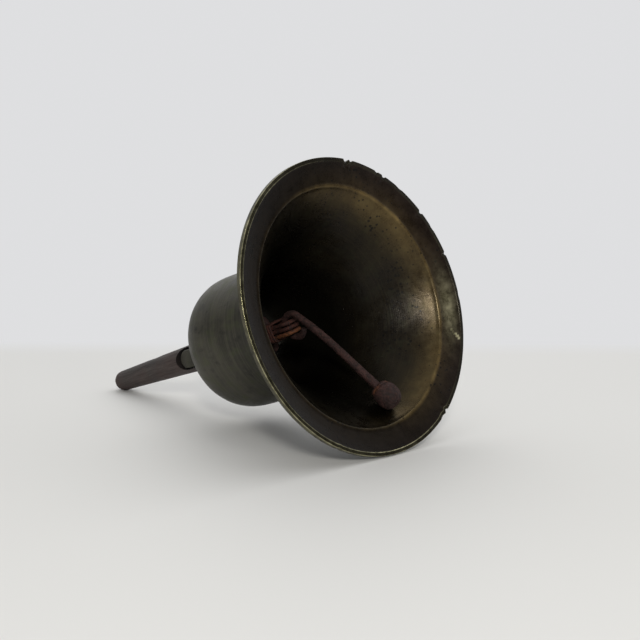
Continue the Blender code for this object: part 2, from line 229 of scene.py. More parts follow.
ROD_END_RINGS = ((0.92, 0.10), (0.70, 0.20))  # (radius, height) of a rod's rounded end, in rod radii
ROD_END_HEIGHT = 0.24
CUT_SHARP_ANGLE = radians(40)
SLAB_SHARP_ANGLE = radians(30)


def steps(count):
    """Shares from 0 to 1 in count even steps."""
    return [index / count for index in range(count + 1)]


def smooth_step(low, high, value):
    """0 at low and below, 1 at high and above, with a smooth rise between."""
    share = min(1.0, max(0.0, (value - low) / (high - low)))
    return share * share * (3 - 2 * share)


def placed(name, data):
    """A new object in the scene with the given data."""
    made = bpy.data.objects.new(name, data)
    bpy.context.scene.collection.objects.link(made)
    return made


def add_mesh(name, points, faces, axes, attributes):
    """A smooth mesh object from points in the given axes, with its attributes' values for each point."""
    mesh = bpy.data.meshes.new(name)
    mesh.from_pydata([axes @ Vector(point) for point in points], [], faces)
    mesh.validate()
    for label, values in attributes.items():
        layer = mesh.attributes.new(label, "FLOAT", "POINT")
        layer.data.foreach_set("value", values)
    bm = bmesh.new()
    bm.from_mesh(mesh)
    bmesh.ops.recalc_face_normals(bm, faces=bm.faces)
    bm.to_mesh(mesh)
    bm.free()
    mesh.shade_smooth()
    return placed(name, mesh)


def ring_faces(first, second, count):
    """Quads between two rings of count points that start at the vertices first and second."""
    return [
        (first + index, first + (index + 1) % count, second + (index + 1) % count, second + index)
        for index in range(count)
    ]


def revolved(name, profile, angles, axes, shift=None, attributes=None):
    """The profile's (radius, z) points turned about Z.  A radius of 0 closes an end.

    shift(point, index, angle) returns how far a point moves out of the surface, and each entry of
    attributes gives a vertex its value from its point, its place in the profile and its angle.
    """
    count = len(angles)
    points = []
    faces = []
    values = {label: [] for label in (attributes or {})}
    starts = []
    turns = [first[0] * second[1] - second[0] * first[1] for first, second in zip(profile, profile[1:])]
    way_out = 1 if sum(turns) > 0 else -1
    for index, (radius, z) in enumerate(profile):
        before = profile[max(0, index - 1)]
        after = profile[min(len(profile) - 1, index + 1)]
        tangent = Vector((after[0] - before[0], after[1] - before[1]))
        tangent = tangent.normalized() if tangent.length else Vector((1, 0))
        normal = (tangent.y * way_out, -tangent.x * way_out)
        starts.append(len(points))
        for angle in angles if radius else angles[:1]:
            point = Vector((radius * cos(angle), radius * sin(angle), z))
            if shift:
                way = Vector((normal[0] * cos(angle), normal[0] * sin(angle), normal[1]))
                point += way * shift(point, index, angle)
            points.append(point)
            for label, rule in (attributes or {}).items():
                values[label].append(rule(point, index, angle))
    for index in range(len(profile) - 1):
        first, second = starts[index], starts[index + 1]
        if profile[index][0] == 0:
            faces += [(first, second + (turn + 1) % count, second + turn) for turn in range(count)]
        elif profile[index + 1][0] == 0:
            faces += [(first + turn, first + (turn + 1) % count, second) for turn in range(count)]
        else:
            faces += ring_faces(first, second, count)
    return add_mesh(name, points, faces, axes, values)


def even_angles(count):
    return [2 * pi * index / count for index in range(count)]


def swept(name, path, radii, sides, axes, shift, fresh=None):
    """A rod along the path with rounded ends.

    shift(point, along, angle) returns how far a point moves outwards.  fresh(point) returns how fresh
    its rust is.
    """
    path = [Vector(point) for point in path]
    tangents = []
    for index in range(len(path)):
        tangents.append((path[min(len(path) - 1, index + 1)] - path[max(0, index - 1)]).normalized())
    across = tangents[0].orthogonal().normalized()
    lengths = [0.0]
    for first, second in zip(path, path[1:]):
        lengths.append(lengths[-1] + (second - first).length)
    points = []
    faces = []
    rings = []
    for place, tangent, radius, along in zip(path, tangents, radii, lengths):
        across = (across - tangent * across.dot(tangent)).normalized()
        other = tangent.cross(across)
        rings.append(len(points))
        for side in range(sides):
            angle = 2 * pi * side / sides
            way = across * cos(angle) + other * sin(angle)
            point = place + way * radius
            points.append(point + way * shift(point, along, angle))
    for first, second in zip(rings, rings[1:]):
        faces += ring_faces(first, second, sides)
    for ring, place, tangent, radius, sign in (
        (rings[0], path[0], tangents[0], radii[0], -1),
        (rings[-1], path[-1], tangents[-1], radii[-1], 1),
    ):
        last = ring
        for inset, proud in ROD_END_RINGS:
            start = len(points)
            for side in range(sides):
                edge = points[ring + side]
                points.append(place + (edge - place) * inset + tangent * sign * radius * proud)
            faces += ring_faces(last, start, sides)
            last = start
        centre = len(points)
        points.append(place + tangent * sign * radius * ROD_END_HEIGHT)
        faces += [(last + side, last + (side + 1) % sides, centre) for side in range(sides)]
    marks = {"fresh": [fresh(point) if fresh else 0.0 for point in points]}
    return add_mesh(name, points, faces, axes, marks)


def cut_with(piece, cutter):
    """Cuts the piece with the cutter for good, and removes the cutter."""
    boolean = piece.modifiers.new("cut", "BOOLEAN")
    boolean.object = cutter
    boolean.operation = "DIFFERENCE"
    boolean.solver = "EXACT"
    boolean.material_mode = "TRANSFER"
    bpy.context.view_layer.update()
    graph = bpy.context.evaluated_depsgraph_get()
    mesh = bpy.data.meshes.new_from_object(piece.evaluated_get(graph))
    piece.modifiers.clear()
    piece.data = mesh
    mesh.shade_smooth()
    mesh.set_sharp_from_angle(angle=CUT_SHARP_ANGLE)
    bpy.data.objects.remove(cutter, do_unlink=True)


def bumps(point, per_metre, seed=0.0):
    """Smooth noise from -1 to 1, with features of about 1 / per_metre."""
    return noise.noise(Vector(point) * per_metre + Vector((seed, -seed, seed * 0.5)))


# --------------------------------------
# Material helpers


def set_range(node, low, high, to_low, to_high):
    """Sets what a Map Range node maps from and to."""
    for label, number in (("From Min", low), ("From Max", high), ("To Min", to_low), ("To Max", to_high)):
        node.inputs[label].default_value = number


class Nodes:
    """Builds one material's node tree in a few words a node."""

    def __init__(self, name):
        self.material = bpy.data.materials.new(name)
        self.material.use_nodes = True
        self.tree = self.material.node_tree
        self.shader = self.tree.nodes["Principled BSDF"]

    def add(self, kind, **values):
        node = self.tree.nodes.new("ShaderNode" + kind)
        for label, value in values.items():
            setattr(node, label, value)
        return node

    def feed(self, socket, value):
        if isinstance(value, bpy.types.NodeSocket):
            self.tree.links.new(value, socket)
        elif socket.type == "RGBA":
            socket.default_value = (*value, 1.0)
        else:
            socket.default_value = value

    def place(self):
        """Object coordinates in metres."""
        return self.add("TexCoord").outputs["Object"]

    def along_bell(self, across, along):
        """Coordinates in the bell's own axes, scaled across and along its axis."""
        centred = self.add("VectorMath", operation="SUBTRACT")
        self.feed(centred.inputs[0], self.place())
        centred.inputs[1].default_value = MOUTH
        joined = self.add("CombineXYZ")
        for label, axis, scale in (("X", DOWN, across), ("Y", LEVEL, across), ("Z", OUT, along)):
            dot = self.add("VectorMath", operation="DOT_PRODUCT")
            self.feed(dot.inputs[0], centred.outputs[0])
            dot.inputs[1].default_value = axis * scale
            self.feed(joined.inputs[label], dot.outputs["Value"])
        return joined.outputs[0]

    def noise(self, vector, scale, detail=4.0, roughness=0.55, distortion=0.0):
        node = self.add("TexNoise")
        self.feed(node.inputs["Vector"], vector)
        labels = ("Scale", "Detail", "Roughness", "Distortion")
        for label, value in zip(labels, (scale, detail, roughness, distortion)):
            node.inputs[label].default_value = value
        return node.outputs["Fac"]

    def cells(self, vector, scale):
        node = self.add("TexVoronoi")
        self.feed(node.inputs["Vector"], vector)
        node.inputs["Scale"].default_value = scale
        return node.outputs["Distance"]

    def attribute(self, name):
        return self.add("Attribute", attribute_name=name).outputs["Fac"]

    def span(self, value, low, high, to_low=0.0, to_high=1.0):
        """value mapped from low..high to to_low..to_high, and held there."""
        node = self.add("MapRange", clamp=True)
        self.feed(node.inputs["Value"], value)
        set_range(node, low, high, to_low, to_high)
        return node.outputs["Result"]

    def math(self, operation, first, second):
        node = self.add("Math", operation=operation)
        self.feed(node.inputs[0], first)
        self.feed(node.inputs[1], second)
        return node.outputs[0]

    def times(self, first, second):
        return self.math("MULTIPLY", first, second)

    def mix(self, share, first, second):
        node = self.add("Mix", data_type="RGBA")
        colours = [socket for socket in node.inputs if socket.type == "RGBA"]
        self.feed(node.inputs["Factor"], share)
        for socket, value in zip(colours, (first, second)):
            self.feed(socket, value)
        return [socket for socket in node.outputs if socket.type == "RGBA"][0]

    def bump(self, height, strength, distance):
        node = self.add("Bump")
        self.feed(node.inputs["Height"], height)
        node.inputs["Strength"].default_value = strength
        node.inputs["Distance"].default_value = distance
        return node.outputs["Normal"]

    def finish(self, colour, roughness, metallic, normal, specular):
        self.feed(self.shader.inputs["Base Color"], colour)
        self.feed(self.shader.inputs["Roughness"], roughness)
        self.feed(self.shader.inputs["Metallic"], metallic)
        self.feed(self.shader.inputs["Normal"], normal)
        self.shader.inputs["Specular IOR Level"].default_value = specular
        return self.material


def bronze_material():
    """Dark patina: olive grey outside, brown inside with painted shade far in and on its unlit side, a
    gold ridge with a painted glint and sheen, and clean metal where the mesh marks rubbing and painted
    highlights.
    """
    made = Nodes("patinated bronze")
    place = made.place()
    blotches = made.noise(place, 26, 6, 0.6, 0.6)
    mottle = made.noise(place, 120, 6, 0.65)
    grain = made.noise(place, 900, 3, 0.6)
    turning = made.noise(made.along_bell(14, 1500), 1.0, 3, 0.6)
    inside = made.attribute("inside")
    worn_and_glint = made.attribute("worn_and_glint")
    ridge = made.attribute("ridge")
    deep_shade = made.attribute("deep_shade")
    flange = made.attribute("flange")

    outer = made.mix(made.span(blotches, 0.35, 0.65), (0.033, 0.031, 0.0245), (0.067, 0.063, 0.049))
    outer = made.mix(made.span(mottle, 0.50, 0.72, 0.0, 0.6), outer, (0.062, 0.072, 0.034))
    outer = made.mix(made.span(turning, 0.45, 0.75, 0.0, 0.35), outer, (0.125, 0.118, 0.083))
    outer = made.mix(made.span(mottle, 0.45, 0.30, 0.0, 0.75), outer, (0.020, 0.019, 0.016))

    # The inside's tones are far darker than the outside's: brown patina, darkened further as painted shade
    # of the hollow.
    inner = made.mix(made.span(blotches, 0.36, 0.64), (0.010, 0.0074, 0.0046), (0.022, 0.0172, 0.0086))
    inner = made.mix(made.span(mottle, 0.52, 0.75, 0.0, 0.5), inner, (0.024, 0.027, 0.013))
    inner = made.mix(made.span(turning, 0.5, 0.8, 0.0, 0.3), inner, (0.050, 0.037, 0.018))
    # Painted shade, growing darker towards the crown.
    inner = made.mix(made.times(deep_shade, 0.8), inner, (0.004, 0.0038, 0.003))
    brown = made.mix(made.span(mottle, 0.35, 0.65), (0.0095, 0.0060, 0.0050), (0.0205, 0.0130, 0.0108))
    inner = made.mix(made.times(flange, 0.85), inner, brown)
    # Painted shade on the inside's side away from the light.
    unlit_side_shade = made.span(made.attribute("lit_side"), 0.0, 1.0, 0.50, 0.0)
    inner = made.mix(unlit_side_shade, inner, (0.005, 0.0045, 0.003))
    # The ridge's gold: the bead's own tone, with a painted glint and sheen strongest on the lit side.
    golden = made.mix(made.span(mottle, 0.3, 0.7), (0.125, 0.080, 0.027), (0.240, 0.168, 0.066))
    ridge_share = made.times(ridge, made.span(blotches, 0.32, 0.62, 0.35, 1.0))
    inner = made.mix(ridge_share, inner, golden)

    pit_size = made.span(made.noise(place, 40, 2), 0.40, 0.65, 0.08, 0.30)
    pits = made.math("LESS_THAN", made.cells(place, 330), pit_size)
    inner = made.mix(made.times(pits, 0.8), inner, (0.006, 0.005, 0.004))

    colour = made.mix(inside, outer, inner)
    # Clean metal where the lip and the flange are rubbed, and as painted highlights on the lip's lit side
    # and on the flange.
    bare_and_glint_tone = made.mix(made.span(mottle, 0.35, 0.65), (0.25, 0.235, 0.130), (0.56, 0.52, 0.33))
    patchy_noise = made.span(made.noise(place, 240, 5, 0.7), 0.30, 0.62, 0.55, 1.3)
    bare_and_glint_share = made.math("MINIMUM", made.times(worn_and_glint, patchy_noise), 1.0)
    colour = made.mix(bare_and_glint_share, colour, bare_and_glint_tone)

    roughness = made.span(mottle, 0.3, 0.7, 0.34, 0.52)
    roughness = made.math("ADD", roughness, made.span(grain, 0.3, 0.7, -0.03, 0.05))
    roughness = made.math("ADD", roughness, made.times(inside, -0.13))
    metallic = made.times(inside, made.span(made.attribute("lit_side"), 0.0, 0.8, 0.55, 0.0))
    metallic = made.math("ADD", metallic, 0.35)

    height = made.math("ADD", made.times(turning, 0.35), made.times(grain, 0.35))
    height = made.math("ADD", height, made.times(mottle, 0.30))
    height = made.math("SUBTRACT", height, made.times(made.times(pits, inside), 1.4))
    normal = made.bump(height, 0.35, 0.00035)
    return made.finish(colour, roughness, metallic, normal, 0.18)


def wood_material(name, tones):
    """Bare old wood: long grey-brown grain, dark pores, grime at the free end."""
    dark, light, warm, grey, pale = tones
    made = Nodes(name)
    long_grain = made.along_bell(620, 26)
    fine_grain = made.along_bell(2600, 70)
    rings = made.noise(long_grain, 1.0, 5, 0.6, 0.4)
    pores = made.noise(fine_grain, 1.0, 4, 0.6)
    stain = made.noise(made.place(), 38, 5, 0.6)
    end = made.attribute("end")
    colour = made.mix(made.span(rings, 0.32, 0.68), dark, light)
    colour = made.mix(made.span(stain, 0.42, 0.68, 0.0, 0.75), colour, warm)
    colour = made.mix(made.span(stain, 0.42, 0.25, 0.0, 0.7), colour, grey)
    colour = made.mix(made.span(pores, 0.58, 0.72, 0.0, 0.75), colour, PORE_TONE)
    colour = made.mix(made.span(pores, 0.40, 0.28, 0.0, 0.35), colour, pale)
    colour = made.mix(made.times(end, 0.7), colour, warm)
    roughness = made.span(pores, 0.3, 0.7, 0.58, 0.80)
    height = made.math("ADD", made.times(rings, 0.7), made.times(pores, -0.8))
    return made.finish(colour, roughness, 0.0, made.bump(height, 0.6, 0.00040), 0.35)


def rust_material(name, tones, bright_from, metal_share):
    """Rusted iron in three tones, scaly and pitted."""
    dark, middle, bright = tones
    made = Nodes(name)
    place = made.place()
    patches = made.noise(place, 150, 6, 0.65, 0.5)
    scale = made.noise(place, 620, 5, 0.7)
    flakes = made.cells(place, 700)
    colour = made.mix(made.span(patches, 0.42, 0.58), dark, middle)
    colour = made.mix(made.span(scale, bright_from, bright_from + 0.18, 0.0, 0.9), colour, bright)
    fresh = made.times(made.attribute("fresh"), made.span(patches, 0.3, 0.6, 0.4, 1.0))
    colour = made.mix(fresh, colour, FRESH_RUST)
    colour = made.mix(made.span(flakes, 0.55, 0.85, 0.0, 0.6), colour, (0.008, 0.006, 0.005))
    roughness = made.span(scale, 0.3, 0.7, 0.62, 0.92)
    height = made.math("ADD", scale, made.times(flakes, -0.5))
    return made.finish(colour, roughness, metal_share, made.bump(height, 0.7, 0.00045), 0.4)


# --------------------------------------
# The bell

FLARE_STEPS = 52
FLARE_CROWDING = 1.3  # above 1, the steps crowd towards the mouth
WAIST_STEPS = 14
CROWN_STEPS = 30
FLANGE_STEPS = 20
BELL_SIDES = 320
CHIP_STEPS = 12
SOFTENING_PASSES = 10
SOFTENED = (0.003, 0.006)  # distances from the ridge over which the softening fades out


def flare(share, mouth, waist, power):
    radius = waist[0] + (mouth[0] - waist[0]) * (1 - share) ** power
    return radius, mouth[1] + (waist[1] - mouth[1]) * share


def swell(share, waist, shoulder):
    radius = waist[0] + (shoulder[0] - waist[0]) * (1 - cos(pi * share)) / 2
    return radius, waist[1] + (shoulder[1] - waist[1]) * share


def dome(share, shoulder, top_depth):
    radius = shoulder[0] * cos(share * pi / 2) ** (2 / CROWN_POWER)
    rise = sin(share * pi / 2) ** (2 / CROWN_POWER)
    return radius, shoulder[1] + (top_depth - shoulder[1]) * rise


def wall_line(mouth, waist, shoulder, crown_depth, power):
    """One face of the wall from the mouth to the axis: flare, waist and crown, finer near the mouth."""
    line = [flare(share**FLARE_CROWDING, mouth, waist, power) for share in steps(FLARE_STEPS)]
    line += [swell(share, waist, shoulder) for share in steps(WAIST_STEPS)[1:]]
    line += [dome(share, shoulder, crown_depth) for share in steps(CROWN_STEPS)[1:-1]]
    line.append((0, crown_depth))
    return line


def arc(centre, radius, start, end, count):
    """Points on an arc in the section, from start to end degrees."""
    made = []
    for share in steps(count):
        angle = radians(start + (end - start) * share)
        made.append((centre[0] + radius * cos(angle), centre[1] + radius * sin(angle)))
    return made


def soften_ridge(inner, flange):
    """Rounds the corner where the flare meets the flange, and raises a small bead along it."""
    line = inner + flange
    for _ in range(SOFTENING_PASSES):
        before = list(line)
        for place in range(1, len(line) - 1):
            away = abs(before[place][0] - RIDGE_RADIUS)
            share = 0.5 * (1 - smooth_step(*SOFTENED, away))
            line[place] = tuple(
                middle + share * ((first + last) / 2 - middle)
                for first, middle, last in zip(before[place - 1], before[place], before[place + 1])
            )
    for place, (radius, depth) in enumerate(line):
        height = RIDGE_BEAD * exp(-(((radius - RIDGE_RADIUS) / RIDGE_BEAD_WIDTH) ** 2))
        line[place] = (radius - 0.5 * height, depth - height)
    return line[: len(inner)], line[len(inner) :]


def bell_section():
    """The bell's section as runs of (radius, depth), from the axis inside to the axis outside."""
    outer = wall_line(
        (MOUTH_RADIUS, LIP_BAND),
        (WAIST_RADIUS, WAIST_DEPTH),
        (SHOULDER_RADIUS, SHOULDER_DEPTH),
        CROWN_DEPTH,
        OUTER_FLARE_POWER,
    )
    inner = wall_line(
        (RIDGE_RADIUS, RIDGE_DEPTH),
        (WAIST_RADIUS - WALL, WAIST_DEPTH),
        (SHOULDER_RADIUS - WALL, SHOULDER_DEPTH - WALL),
        CROWN_INNER_DEPTH,
        INNER_FLARE_POWER,
    )[::-1]
    lip_inner = MOUTH_RADIUS - LIP_FACE
    flange = []
    for share in steps(FLANGE_STEPS)[1:]:
        # The flange from the ridge to the lip's inner corner, very slightly hollow.
        radius = RIDGE_RADIUS + (lip_inner - LIP_ROUND - RIDGE_RADIUS) * share
        hollow = FLANGE_HOLLOW * sin(pi * share)
        flange.append((radius, RIDGE_DEPTH + (LIP_ROUND - RIDGE_DEPTH) * share + hollow))
    inner, flange = soften_ridge(inner, flange)
    inner_corner = arc((lip_inner, LIP_ROUND), LIP_ROUND, 180, 270, 4)[1:]
    face = [(lip_inner + (LIP_FACE - LIP_ROUND) * (0.06 + 0.88 * share), 0) for share in steps(8)]
    outer_corner = arc((MOUTH_RADIUS - LIP_ROUND, LIP_ROUND), LIP_ROUND, 270, 360, 5)
    band_height = LIP_BAND - 2 * LIP_ROUND
    band = [(MOUTH_RADIUS, LIP_ROUND + band_height * (0.1 + 0.9 * share)) for share in steps(6)]
    return inner, flange, inner_corner, face, outer_corner, band, outer


def bell_angles():
    """Even angles round the bell, with more of them across each chip and the scrape."""
    angles = even_angles(BELL_SIDES)
    for place, width, _ in (*LIP_CHIPS, (SCRAPE_ANGLE, SCRAPE_MESH_WIDTH, 0)):
        centre = radians(place) % (2 * pi)
        half = width / MOUTH_RADIUS
        angles = [angle for angle in angles if abs(angle - centre) > half]
        angles += [centre + half * (2 * share - 1) for share in steps(CHIP_STEPS)]
    return sorted(angle % (2 * pi) for angle in angles)


def degrees_past(angle, place):
    """How far an angle in radians lies past a place in degrees, from -180 to 180 degrees."""
    return (degrees(angle) - place + 180) % 360 - 180


def chip_depth(angle, depth):
    """How far the lip is broken away at a point, in metres."""
    broken = 0.0
    for place, width, chip in LIP_CHIPS:
        offset = degrees_past(angle, place)
        distance = radians(offset) * MOUTH_RADIUS / (width / 2)
        ragged = 1 + 0.3 * noise.noise(Vector((offset * 2.3, place, depth * 700)))
        if abs(distance) < 1:
            broken = max(broken, chip * ragged * (1 - abs(distance) ** 1.7))
    return broken


def lit_side_share(angle, low=-0.15, high=0.95):
    """How far an angle round the bell lies towards its lit side, which sets the painted sheen and, where
    it is low, the painted shade inside.
    """
    return smooth_step(low, high, cos(angle - LIT_SIDE))


def make_bell(look):
    runs = bell_section()
    inner, flange, inner_corner, face, outer_corner = runs[:5]
    profile = [(radius, -depth) for run in runs for radius, depth in run]
    run_wear_and_glint = (0, 0, INNER_CORNER_WEAR_AND_GLINT, FACE_WEAR_AND_GLINT, OUTER_CORNER_WEAR_AND_GLINT, BAND_WEAR_AND_GLINT, 0)
    corner_wear_and_glint = [bare_and_glint_share for run, bare_and_glint_share in zip(runs, run_wear_and_glint) for _ in run]
    flange_end = len(inner) + len(flange)
    band_start = flange_end + len(inner_corner) + len(face) + len(outer_corner)

    def shift(point, index, angle):
        away_from_lip = smooth_step(0.0, 0.012, -point.z)
        if index < flange_end:
            rough = 0.00008 * bumps(point, 130) + 0.00006 * bumps(point, 420, 5)
            return rough * (0.5 + 0.5 * away_from_lip) - SKIN_INSET * (1 - away_from_lip)
        rough = 0.00022 * bumps(point, 22, 3) + 0.00009 * bumps(point, 130, 7)
        return min(rough, 0.00012) * (0.2 + 0.8 * away_from_lip) - LIP_INSET * (1 - away_from_lip)

    def inside(point, index, angle):
        return 1.0 if index < band_start else 0.0

    def worn_and_glint(point, index, angle):
        # The rim is polished on the side it has been stood and slid on, made brighter still there as a
        # painted highlight where the corners catch the light, and dull on top.
        worn_and_lit_side = smooth_step(-0.55, 0.60, cos(angle + WORN_AND_LIT_SIDE))
        patch = 0.5 + 0.5 * noise.noise(Vector((cos(angle) * 6, sin(angle) * 6, index * 0.13)))
        rim = corner_wear_and_glint[index] * (0.04 + 0.96 * worn_and_lit_side) * (0.30 + 1.0 * patch)
        if index >= flange_end:
            return max(rim, 0.0)
        radius = hypot(point.x, point.y)
        turned = degrees_past(angle, SCRAPE_ANGLE)
        away = abs(radius - (SCRAPE_RADIUS - SCRAPE_SLANT * turned))
        scraped = away < SCRAPE_HALF_WIDTH and abs(turned) < SCRAPE_HALF_SPAN
        scrape = smooth_step(-0.22, 0.12, bumps(point, 640, 17)) if scraped else 0.0
        # A painted highlight on the flange, in clean metal's colour.
        turned = degrees_past(angle, FLANGE_SHEEN_ANGLE)
        away = radius - FLANGE_SHEEN_RADIUS
        flange_sheen = FLANGE_SHEEN_STRENGTH * exp(-((turned / FLANGE_SHEEN_SPAN) ** 2) - (away / FLANGE_SHEEN_REACH) ** 2)
        return max(rim, scrape, flange_sheen)

    def ridge(point, index, angle):
        # A gold line on the ridge's bead and a gold tone beside it, strongest on the lit side: the bead's
        # gold, with a painted glint and sheen.
        away = hypot(point.x, point.y) - RIDGE_RADIUS
        if index >= flange_end:
            return 0.0
        crest = exp(-((away / CREST_WIDTH) ** 2)) * (0.80 + 0.5 * bumps(point, 160, 12))
        strength, reach = GOLD_OUTWARDS if away > 0 else GOLD_INWARDS
        halo = strength * exp(-((away / reach) ** 2))
        return max(crest, halo) * (0.15 + 0.85 * lit_side_share(angle, -0.40, 0.70))

    def lit_side(point, index, angle):
        return lit_side_share(angle)

    def deep_shade(point, index, angle):
        # Painted shade far inside the hollow, darker towards the crown.
        return smooth_step(0.015, 0.065, -point.z) if index < len(inner) else 0.0

    def flat(point, index, angle):
        return 1.0 if len(inner) <= index < flange_end else 0.0

    rules = {"inside": inside, "worn_and_glint": worn_and_glint, "ridge": ridge, "deep_shade": deep_shade, "flange": flat, "lit_side": lit_side}
    bell = revolved("bell", profile, bell_angles(), BELL_AXES, shift, rules)
    break_lip(bell)
    bell.data.materials.append(look)
    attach(bell, "bell")
    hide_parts("bell_casting")


def break_lip(bell):
    """Breaks the small chips out of the lip's edge."""
    to_bell = BELL_AXES.inverted()
    for vertex in bell.data.vertices:
        point = to_bell @ vertex.co
        radius = hypot(point.x, point.y)
        reach = radius - (MOUTH_RADIUS - CHIP_REACH)
        if reach <= 0 or point.z < -CHIP_DEPTH_REACH:
            continue
        broken = chip_depth(atan2(point.y, point.x), -point.z)
        scale = (radius - broken * smooth_step(0, CHIP_FADE, reach)) / radius
        vertex.co = BELL_AXES @ Vector((point.x * scale, point.y * scale, point.z - broken * 0.35))


def tongue(half_width, root_depth, tip_depth, middle_x=0.0):
    """The outline of a strip along the bell's axis with a round end, as (x, z) points."""
    centre_depth = tip_depth - half_width
    outline = [(middle_x + half_width, -root_depth), (middle_x - half_width, -root_depth)]
    for share in steps(28):
        angle = pi * share
        x = middle_x - half_width * cos(angle)
        outline.append((x, -centre_depth - half_width * sin(angle)))
    return outline


def slab(name, outline, half_thickness, axes, round_edge, look):
    """A flat piece with the outline in X and Z, and its edges rounded by round_edge."""
    bm = bmesh.new()
    face = bm.faces.new([bm.verts.new((x, -half_thickness, z)) for x, z in outline])
    grown = bmesh.ops.extrude_face_region(bm, geom=[face])
    moved = [item for item in grown["geom"] if isinstance(item, bmesh.types.BMVert)]
    bmesh.ops.translate(bm, verts=moved, vec=(0, 2 * half_thickness, 0))
    if round_edge:
        rims = []
        for edge in bm.edges:
            if abs(edge.verts[0].co.y - edge.verts[1].co.y) < half_thickness:
                rims.append(edge)
        bmesh.ops.bevel(bm, geom=rims, offset=round_edge, segments=5, profile=0.5, affect="EDGES")
    bmesh.ops.recalc_face_normals(bm, faces=bm.faces)
    mesh = bpy.data.meshes.new(name)
    bm.to_mesh(mesh)
    bm.free()
    mesh.transform(axes)
    mesh.shade_smooth()
    mesh.set_sharp_from_angle(angle=SLAB_SHARP_ANGLE)
    mesh.materials.append(look)
    return placed(name, mesh)


def make_tang(look):
    """The tang that is cast in one with the bell.  It runs into the crown."""
    outline = tongue(TANG_HALF_WIDTH, CROWN_DEPTH - TANG_ROOT_OVERLAP, TANG_TIP_DEPTH)
    tang = slab("bell_tang", outline, TANG_HALF_THICKNESS, BELL_AXES, TANG_EDGE, look)
    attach(tang, "bell")


# --------------------------------------
# The handle and its rivet


def make_handle(look, slot_look):
    root = CROWN_DEPTH + GAP
    taper_start = root + HANDLE_CHAMFER
    profile = [(0, -root), (HANDLE_ROOT_RADIUS * 0.7, -root), (HANDLE_ROOT_RADIUS - HANDLE_CHAMFER, -root)]
    for share in steps(150):
        radius = HANDLE_ROOT_RADIUS + (HANDLE_END_RADIUS - HANDLE_ROOT_RADIUS) * share
        profile.append((radius, -taper_start - (END_CENTRE_DEPTH - taper_start) * share))
    for share in steps(16)[1:]:
        angle = share * pi / 2
        radius = HANDLE_END_RADIUS * cos(angle) if share < 1 else 0
        profile.append((radius, -END_CENTRE_DEPTH - HANDLE_END_RADIUS * sin(angle)))

    def shift(point, index, angle):
        grooves = bumps((point.x * 5.0, point.y * 5.0, point.z * 0.22), 190, 2)
        dents = bumps(point, 70, 9)
        hollow = -0.00030 * max(0.0, dents - 0.25) * 2
        rough = 0.00010 * max(0.0, bumps(point, 260, 4))
        return hollow - SKIN_INSET - 0.00016 * max(0.0, grooves) - rough

    def end(point, index, angle):
        return smooth_step(GRIMY_FROM, GRIMY_TO, -point.z)

    handle = revolved("handle_wood", profile, even_angles(144), BELL_AXES, shift, {"end": end})
    handle.data.materials.append(look)
    # The slot's faces take the much darker slot wood from the cutter.
    outline = tongue(SLOT_HALF_WIDTH, root - SLOT_LEAD, SLOT_TIP_DEPTH, -SLOT_RISE)
    cut_with(handle, slab("slot_cutter", outline, CUTTER_REACH, BELL_AXES, 0.0, slot_look))
    for radius, low, high, sides, end in (
        (RIVET_HEAD_RADIUS + GAP, RIVET_HEAD_FLOOR - GAP, RECESS_REACH, 40, -1),
        (RIVET_HEAD_RADIUS + GAP, ROVE_FLOOR - GAP, RECESS_REACH, 40, 1),
        (RIVET_RADIUS + GAP, -CUTTER_REACH, CUTTER_REACH, 32, 1),
    ):
        ring = [(0, low), (radius, low), (radius, high), (0, high)]
        cut_with(handle, revolved("round_cutter", ring, even_angles(sides), rivet_axes(end)))
    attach(handle, "bell")
    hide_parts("handle")


def rivet_axes(side):
    """Axes at the middle of the rivet, with Z towards its hammered end for side 1, or its head for -1."""
    middle = MOUTH - OUT * RIVET_DEPTH
    z_axis = DOWN * side
    return axes_at(middle, LEVEL.cross(z_axis), LEVEL, z_axis)


def make_rivet(look):
    end_floor = ROVE_TOP + GAP
    head_edge = RIVET_HEAD_FLOOR + RIVET_HEAD_EDGE
    head = [(RIVET_HEAD_RADIUS, -RIVET_HEAD_FLOOR)]
    for share in steps(8):
        angle = radians(12 + 78 * share)
        height = head_edge + (RIVET_HEAD_TOP - head_edge) * sin(angle)
        head.append((RIVET_HEAD_RADIUS * cos(angle) if share < 1 else 0, -height))
    hammered = []
    for share in steps(8):
        angle = radians(90 - 80 * share)
        height = end_floor + (RIVET_END_TOP - end_floor) * sin(angle)
        hammered.append((RIVET_END_RADIUS * cos(angle) if share else 0, height))
    profile = hammered + [(RIVET_END_RADIUS, end_floor), (RIVET_RADIUS, end_floor)]
    profile += [(RIVET_RADIUS, -RIVET_HEAD_FLOOR)] + head

    def shift(point, index, angle):
        return -0.00012 * max(0.0, bumps(point, 700, 3))

    rivet = revolved("rivet", profile, even_angles(48), rivet_axes(1), shift)
    rivet.data.materials.append(look)
    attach(rivet, "bell")
    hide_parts("handle_rivet")

    inner = RIVET_RADIUS + GAP
    section = [
        (inner, ROVE_FLOOR),
        (inner, ROVE_TOP - 0.0001),
        (inner + 0.0002, ROVE_TOP),
        (RIVET_HEAD_RADIUS - 0.0003, ROVE_TOP),
        (RIVET_HEAD_RADIUS, ROVE_TOP - 0.0002),
        (RIVET_HEAD_RADIUS, ROVE_FLOOR),
        (inner, ROVE_FLOOR),
    ]
    rove = revolved("rove", section, even_angles(48), rivet_axes(1), shift)
    rove.data.materials.append(look)
    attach(rove, "bell")
    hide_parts("rivet_rove")


# --------------------------------------
# The clapper and what it hangs from


def scaly(depth, seed):
    """A shift for rusted rod.  It is inwards all over, so that neighbours stay clear."""

    def shift(point, along, angle):
        coarse = bumps(point, 260, seed)
        fine = bumps(point, 800, seed + 3)
        return -depth * (0.5 + 0.5 * coarse) - depth * 0.5 * max(0.0, fine)

    return shift


